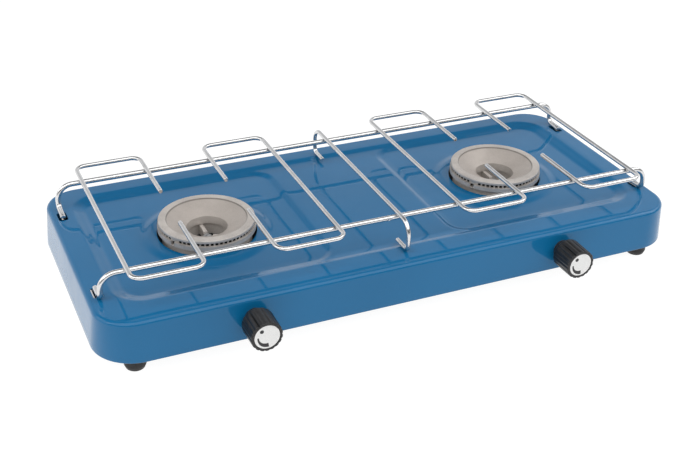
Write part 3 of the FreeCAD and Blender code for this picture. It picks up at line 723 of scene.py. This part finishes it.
# ---- wires ----
def wire_path(corners, bends, run_step=4.0, arc_steps=14):
    """Points along straight runs joined by tangent arcs."""
    path = []
    start = Vector(corners[0])
    for before, corner, after, bend in zip(corners, corners[1:], corners[2:], bends):
        corner = Vector(corner)
        incoming = (corner - Vector(before)).normalized()
        outgoing = (Vector(after) - corner).normalized()
        turn = incoming.angle(outgoing)
        reach = bend * math.tan(turn / 2)
        arc_start = corner - incoming * reach
        centre = arc_start + (outgoing - incoming * incoming.dot(outgoing)).normalized() * bend
        runs = max(1, round((arc_start - start).length / run_step))
        path += [start.lerp(arc_start, step / runs) for step in range(runs)]
        axis = incoming.cross(outgoing).normalized()
        for step in range(arc_steps):
            spin = Matrix.Rotation(turn * step / arc_steps, 3, axis)
            path.append(centre + spin @ (arc_start - centre))
        start = corner + outgoing * reach
    end = Vector(corners[-1])
    runs = max(1, round((end - start).length / run_step))
    path += [start.lerp(end, step / runs) for step in range(runs + 1)]
    return path


def wire_mesh(name, path, radius, weld_shade_marks=(), segments=28, end_bevel=0.4):
    """Round wire along a path, its cut ends slightly rounded, with a mark near given places for welding
    scorch and painted contact shade.
    """
    directions = []
    for index in range(len(path)):
        ahead = path[min(index + 1, len(path) - 1)] - path[max(index - 1, 0)]
        directions.append(ahead.normalized())
    rings = [(point, direction, radius) for point, direction in zip(path, directions)]
    bevel_steps = 4
    start_rings = []
    end_rings = []
    for step in range(bevel_steps + 1):
        angle = math.pi / 2 * step / bevel_steps
        back = end_bevel * (1 - math.sin(angle))
        reach = radius - end_bevel * (1 - math.cos(angle))
        start_rings.append((path[0] + directions[0] * back, directions[0], reach))
        end_rings.append((path[-1] - directions[-1] * back, directions[-1], reach))
    rings = start_rings[::-1] + rings[1:-1] + end_rings
    side = directions[0].orthogonal().normalized()
    points = []
    for point, direction, reach in rings:
        side = (side - direction * side.dot(direction)).normalized()
        other = direction.cross(side)
        for step in range(segments):
            angle = 2 * math.pi * step / segments
            points.append(point + (side * math.cos(angle) + other * math.sin(angle)) * reach)
    faces = []
    for ring in range(len(rings) - 1):
        for step in range(segments):
            following = (step + 1) % segments
            faces.append((ring * segments + step, ring * segments + following,
                          (ring + 1) * segments + following, (ring + 1) * segments + step))
    faces.append(tuple(range(segments))[::-1])
    faces.append(tuple((len(rings) - 1) * segments + step for step in range(segments)))
    mesh = smooth_by_angle(mesh_from(name, points, faces), 50)
    # mark for welding scorch and painted contact shade, strongest at the crossings
    mark = mesh.attributes.new("weld_shade_mark", "FLOAT", "POINT")
    for vertex in mesh.vertices:
        place = vertex.co / mm
        nearest = min(((place - weld_shade_mark).length for weld_shade_mark in weld_shade_marks), default=99.0)
        mark.data[vertex.index].value = math.exp(-(nearest / 2.0) ** 2)
    return mesh


def make_wires(material):
    """Pan support: two rails, the centre wire and four C-shaped wires, welded where they cross."""
    rail_z = rail_high.z - rail_radius
    wire_z = wire_high.z - wire_radius
    rail_x = rail_high.x - rail_radius
    rails = {}
    for name in ("front_rail", "rear_rail"):
        low, high = box_mm(name)
        outer_y = low.y + rail_radius if low.y < 0 else high.y - rail_radius
        rails[name] = outer_y
    meshes = {}
    rest_z = (rail_z + rail_radius + wire_z - wire_radius) / 2
    across = {}
    for side_name, side in sides.items():
        for kind in ("outer", "inner"):
            low, high = box_mm(f"{side_name}_{kind}_support")
            ends = sorted((low.x + wire_radius, high.x - wire_radius), key=abs)
            bar, prong = (ends[1], ends[0]) if kind == "outer" else (ends[0], ends[1])
            across[f"{side_name}_{kind}_support"] = (bar, prong, low.y + wire_radius, high.y - wire_radius)
    crossings = [0.0] + [x for bar, prong, front, back in across.values() for x in (bar, prong)]
    for name, y in rails.items():
        inwards = 1 if y < cooking_y else -1
        tip_y = y + inwards * foot_reach
        points = []
        for x in (-rail_x, rail_x):
            end = [(x, tip_y, top_plane + corner_tip_rise), (x, y, top_plane + corner_foot_rise),
                   (x, y, rail_z)]
            points += end if x < 0 else end[::-1]
        path = wire_path(points, [foot_bend, rail_bend, rail_bend, foot_bend])
        weld_shade_marks = [Vector((x, y, rest_z)) for x in crossings]
        meshes[name] = wire_mesh(name + "_wire", path, rail_radius, weld_shade_marks, 32)
    centre_weld_shade_marks = [Vector((0, y, rest_z)) for y in rails.values()]
    front = wire_low.y + wire_radius
    back = wire_high.y - wire_radius
    foot_z = top_plane + centre_foot_rise
    points = [(0, front + centre_foot_reach, foot_z), (0, front, foot_z), (0, front, wire_z),
              (0, back, wire_z), (0, back, foot_z), (0, back - centre_foot_reach, foot_z)]
    path = wire_path(points, [centre_foot_bend, centre_leg_bend, centre_leg_bend, centre_foot_bend])
    meshes["centre_wire"] = wire_mesh("centre_wire_wire", path, wire_radius, centre_weld_shade_marks)
    for name, (bar, prong, front, back) in across.items():
        points = [(prong, cooking_y - prong_tip_half_depth, wire_z), (prong, front, wire_z),
                  (bar, front, wire_z), (bar, back, wire_z), (prong, back, wire_z),
                  (prong, cooking_y + prong_tip_half_depth, wire_z)]
        path = wire_path(points, [bar_bend] * 4)
        weld_shade_marks = [Vector((x, y, rest_z)) for x in (bar, prong) for y in rails.values()]
        meshes[name] = wire_mesh(name + "_wire", path, wire_radius, weld_shade_marks)
    for name, mesh in meshes.items():
        place_piece(mesh.name, mesh, material, "pan_support", [name])


# ---- burners ----
def burner_cap_mesh(name, x):
    """Cap with a rounded flat rim, a dished middle round an air hole, ports in the skirt and a lug."""
    profile = [
        (air_hole_radius, -4.9), (air_hole_radius, dish_foot), (dish_radius, dish_top), (31.1, 9.9),
        (cap_radius, 9.9), (cap_radius, 7.3), (port_band_radius, 7.3), (port_band_radius, cap_foot),
        (33.2, cap_foot), (33.2, 7.5), (30.0, 7.2), (20.0, 1.5), (17.3, 1.2), (17.3, -4.9),
    ]
    radii = [0.3, 0.6, 0.25, 0.4, 1.4, 0.5, 0.15, 0, 0, 0.2, 1.0, 1.0, 0.4, 0.3]
    outline = rounded(profile, radii, 5)
    port_top = cap_foot + port_height
    land = []
    port = []
    lug = []
    for radius, height in outline:
        on_skirt = radius > 33 and height < cap_foot + 0.01
        if on_skirt:
            outside = radius > 35
            heights = (port_top, cap_foot) if outside else (cap_foot, port_top)
            land += [(radius, level) for level in heights]
            port += [(radius, port_top)] * 2
            proud = lug_proud if outside else 0.0
            lug += [(radius + proud, level) for level in heights]
        else:
            land.append((radius, height))
            port.append((radius, height))
            lug.append((radius, height))
    port_angle = 2 * math.pi / port_count
    half_port = math.asin(port_width / 2 / port_band_radius)
    lug_middle = math.radians(lug_angle)
    half_lug = math.asin(lug_half_width / port_band_radius)
    columns = []
    for index in range(port_count):
        middle = port_angle * index
        edge_low = middle - half_port
        edge_high = middle + half_port
        gap_end = middle + port_angle - half_port
        if abs(middle - lug_middle) < port_angle / 2 + half_lug / 2:
            marks = (edge_low, middle, edge_high, (edge_high + gap_end) / 2)
            for angle in marks:
                on_lug = abs(angle - lug_middle) < half_lug + 0.01
                columns.append((angle, lug if on_lug else land))
            continue
        columns.append((edge_low, land))
        columns += [(edge_low + (edge_high - edge_low) * t, port) for t in (0.0, 0.5, 1.0)]
        columns.append((edge_high, land))
        columns += [(edge_high + (gap_end - edge_high) * t, land) for t in (1 / 3, 2 / 3)]
    points, faces = wrap_columns(columns, upright((x, cooking_y, top_plane)))
    return smooth_by_angle(mesh_from(name, points, faces), 40)


def make_burners(material):
    for name, side in sides.items():
        mesh = burner_cap_mesh(name + "_cap", side * burner_x)
        place_piece(name + "_cap", mesh, material, name + "_cap", [name + "_burner_cap"])


# ---- feet ----
def make_feet(material):
    """Rubber feet with a rounded sole edge, a stem through the channel and a mushroom head."""
    pad_top = foot_pad_top
    profile = [(0.0, 0.0), (6.6, 0.0), (8.0, 3.4), (8.0, pad_top), (3.0, pad_top), (3.0, wall_bottom),
               (4.4, wall_bottom), (2.2, foot_high.z), (0.0, foot_high.z)]
    outline = rounded(profile, [0, 1.3, 2.2, 0.5, 0.2, 0.2, 0.5, 0.8, 0], 6)
    for side_name, side in sides.items():
        for place_name, y_side in (("front", -1), ("rear", 1)):
            name = f"{side_name}_{place_name}_rubber_foot"
            centre = (side * foot_x, y_side * foot_y, 0.0)
            points, faces = wrap_columns(even_columns(outline, 72), upright(centre))
            mesh = smooth_by_angle(mesh_from(name, points, faces), 40)
            place_piece(name, mesh, material, "base", [f"{side_name}_{place_name}_foot"])


# ---- knobs ----
flute_count = 18


def knob_mesh(name, x):
    """Knob with narrow grooves between its flutes, one deeper groove as a pointer."""
    back_radius = 11.9
    back_round = 2.2
    front_radius = 11.7
    face = knob_face
    back = knob_back
    seat = face - 0.8
    disc_hole = 9.45
    inside = face - 3.0
    per_flute = 14
    columns = []
    for index in range(flute_count * per_flute):
        angle = 2 * math.pi * index / (flute_count * per_flute)
        phase = (index % per_flute) / per_flute
        away = min(phase, 1 - phase) * 2 * math.pi * front_radius / flute_count
        pointer = index // per_flute == 6 or (index // per_flute == 5 and phase > 0.5)
        depth = 1.0 if pointer and abs(angle - 2 * math.pi * 6 / flute_count) < 0.09 else 0.5
        groove = depth * math.exp(-(away / (0.55 if depth > 0.6 else 0.75)) ** 2)
        fade = groove * 0.3
        outline = [(0.0, seat), (disc_hole, seat), (disc_hole, face - 0.1), (disc_hole + 0.15, face)]
        outline += [(front_radius - 0.9 - groove * 0.9, face), (front_radius - 0.35 - groove, face - 0.14),
                    (front_radius - 0.06 - groove, face - 0.5), (front_radius - groove, face - 1.0)]
        for t in (0.15, 0.3, 0.45, 0.6, 0.72):
            flank = front_radius + (back_radius - front_radius) * t
            outline.append((flank - groove, face + (back - face) * t))
        for step in range(7):
            turn = math.pi / 2 * step / 6
            outline.append((back_radius - fade - back_round * (1 - math.cos(turn)),
                            back + back_round * (1 - math.sin(turn))))
        outline += [(9.4, back), (9.2, back + 0.2), (9.2, inside), (5.2, inside),
                    (5.2, back + 2.5), (3.05, back + 2.5), (3.05, face - 7.0), (0.0, face - 7.0)]
        columns.append((angle, outline))
    points, faces = wrap_columns(columns, facing_front(x, knob_z))
    return smooth_by_angle(mesh_from(name, points, faces), 42)


def disc_mesh(name, x):
    low, high = box_mm("right_knob_disc")
    front = -low.y
    back = -high.y
    radius = (high.x - low.x) / 2 - 0.4
    profile = [(0.0, back), (radius, back), (radius, front), (radius - 1.0, front),
               (radius - 1.2, front - 0.12), (0.0, front - 0.12)]
    outline = rounded(profile, [0, 0.05, 0.2, 0.1, 0.1, 0], 4)
    points, faces = wrap_columns(even_columns(outline, 96), facing_front(x, knob_z))
    return smooth_by_angle(mesh_from(name, points, faces), 40)


def make_knobs(plastic):
    for name, side in sides.items():
        x = side * burner_x
        knob = knob_mesh(name + "_control_knob", x)
        place_piece(knob.name, knob, plastic, name + "_control", [name + "_knob"])
        disc = disc_mesh(name + "_face_disc", x)
        place_piece(disc.name, disc, disc_material(x), name + "_control", [name + "_knob_disc"])


# ---- the other CAD pieces keep their shapes and get their finish ----
def finish_cad_nodes(materials):
    slots = {entry["node"]: entry["material_slot"] for entry in frame["record"]["subparts"]}
    for name, node in frame["nodes"].items():
        node.data.materials.clear()
        node.data.materials.append(materials[slots[name]])


# ---- stage ----
def make_floor():
    half = 20.0
    mesh = bpy.data.meshes.new("floor")
    corners = [(-half, -half, 0), (half, -half, 0), (half, half, 0), (-half, half, 0)]
    mesh.from_pydata(corners, [], [(0, 1, 2, 3)])
    mesh.materials.append(floor_material())
    floor = bpy.data.objects.new("floor", mesh)
    bpy.context.scene.collection.objects.link(floor)


def make_world():
    """Pale backdrop behind the stove that darkens higher up, and a dim room in front of it."""
    world = bpy.data.worlds.new("studio")
    bpy.context.scene.world = world
    world.use_nodes = True
    nodes = world.node_tree.nodes
    links = world.node_tree.links
    where = nodes.new("ShaderNodeTexCoord")
    split = nodes.new("ShaderNodeSeparateXYZ")
    links.new(where.outputs["Generated"], split.inputs[0])
    behind = nodes.new("ShaderNodeMapRange")
    behind.interpolation_type = "SMOOTHSTEP"
    behind.inputs["From Min"].default_value = -0.3
    behind.inputs["From Max"].default_value = 0.4
    links.new(split.outputs["Y"], behind.inputs["Value"])
    mix = nodes.new("ShaderNodeMix")
    mix.data_type = "RGBA"
    links.new(behind.outputs["Result"], mix.inputs[0])
    colour_inputs = [socket for socket in mix.inputs if socket.type == "RGBA"]
    front_levels = ((0.0, 0.22), (0.25, 0.16), (0.5, 0.2), (1.0, 0.3))
    back_levels = ((0.0, 1.0), (0.25, 0.95), (0.46, 0.77), (0.58, 0.66), (0.72, 0.18), (1.0, 0.3))
    for levels, socket in zip((front_levels, back_levels), colour_inputs):
        ramp = nodes.new("ShaderNodeValToRGB")
        links.new(split.outputs["Z"], ramp.inputs[0])
        stops = ramp.color_ramp.elements
        while len(stops) < len(levels):
            stops.new(0.5)
        for stop, (height, level) in zip(stops, levels):
            stop.position = height
            stop.color = (level * 0.97, level * 0.98, level, 1)
        links.new(ramp.outputs["Color"], socket)
    blended = [socket for socket in mix.outputs if socket.type == "RGBA"][0]
    links.new(blended, nodes["Background"].inputs["Color"])
    nodes["Background"].inputs["Strength"].default_value = 0.95


def area_light(name, place, target, size, power, colour=(1, 1, 1)):
    data = bpy.data.lights.new(name, "AREA")
    data.shape = "RECTANGLE"
    data.size = size[0]
    data.size_y = size[1]
    data.energy = power
    data.color = colour
    light = bpy.data.objects.new(name, data)
    light.location = place
    light.rotation_euler = (Vector(target) - Vector(place)).to_track_quat("-Z", "Y").to_euler()
    bpy.context.scene.collection.objects.link(light)


def make_lights():
    area_light("top_softbox", (-0.1, -1.35, 1.7), (-0.1, -1.35, 0.0), (5.6, 2.6), 76.0)
    area_light("left_softbox", (-1.5, 0.2, 0.9), (0, 0, 0.03), (1.4, 1.0), 5.0)
    area_light("right_softbox", (1.5, -0.2, 1.1), (0, 0, 0.03), (1.2, 1.0), 6.0)


def make_camera():
    """Camera to the left of the front, looking down, with the focal length of a short telephoto."""
    place = Vector((-343.2, -732.0, 478.2)) * mm
    yaw = 0.4181
    pitch = 0.5156
    roll = 0.0203
    forward = Vector((math.sin(yaw) * math.cos(pitch), math.cos(yaw) * math.cos(pitch), -math.sin(pitch)))
    level = Vector((math.cos(yaw), -math.sin(yaw), 0))
    above = level.cross(forward)
    right = level * math.cos(roll) + above * math.sin(roll)
    up = above * math.cos(roll) - level * math.sin(roll)
    data = bpy.data.cameras.new("camera")
    data.lens = 60.6
    data.sensor_width = 36.0
    camera = bpy.data.objects.new("camera", data)
    camera.matrix_world = Matrix((right, up, -forward)).transposed().to_4x4()
    camera.location = place
    bpy.context.scene.collection.objects.link(camera)
    bpy.context.scene.camera = camera


def main():
    bpy.context.scene.view_settings.view_transform = "Standard"
    make_camera()
    make_world()
    make_lights()
    make_floor()
    materials = {
        "tray_paint": paint_material(),
        "plated_wire": plated_material(),
        "cast_alloy": cast_material(),
        "knob_plastic": knob_material(),
        "disc_plastic": knob_material(),
        "rubber": rubber_material(),
        "brass": brass_material(),
        "zinc_steel": steel_material(),
    }
    finish_cad_nodes(materials)
    make_tray(materials["tray_paint"])
    make_wires(materials["plated_wire"])
    make_burners(materials["cast_alloy"])
    make_knobs(materials["knob_plastic"])
    make_feet(materials["rubber"])


main()
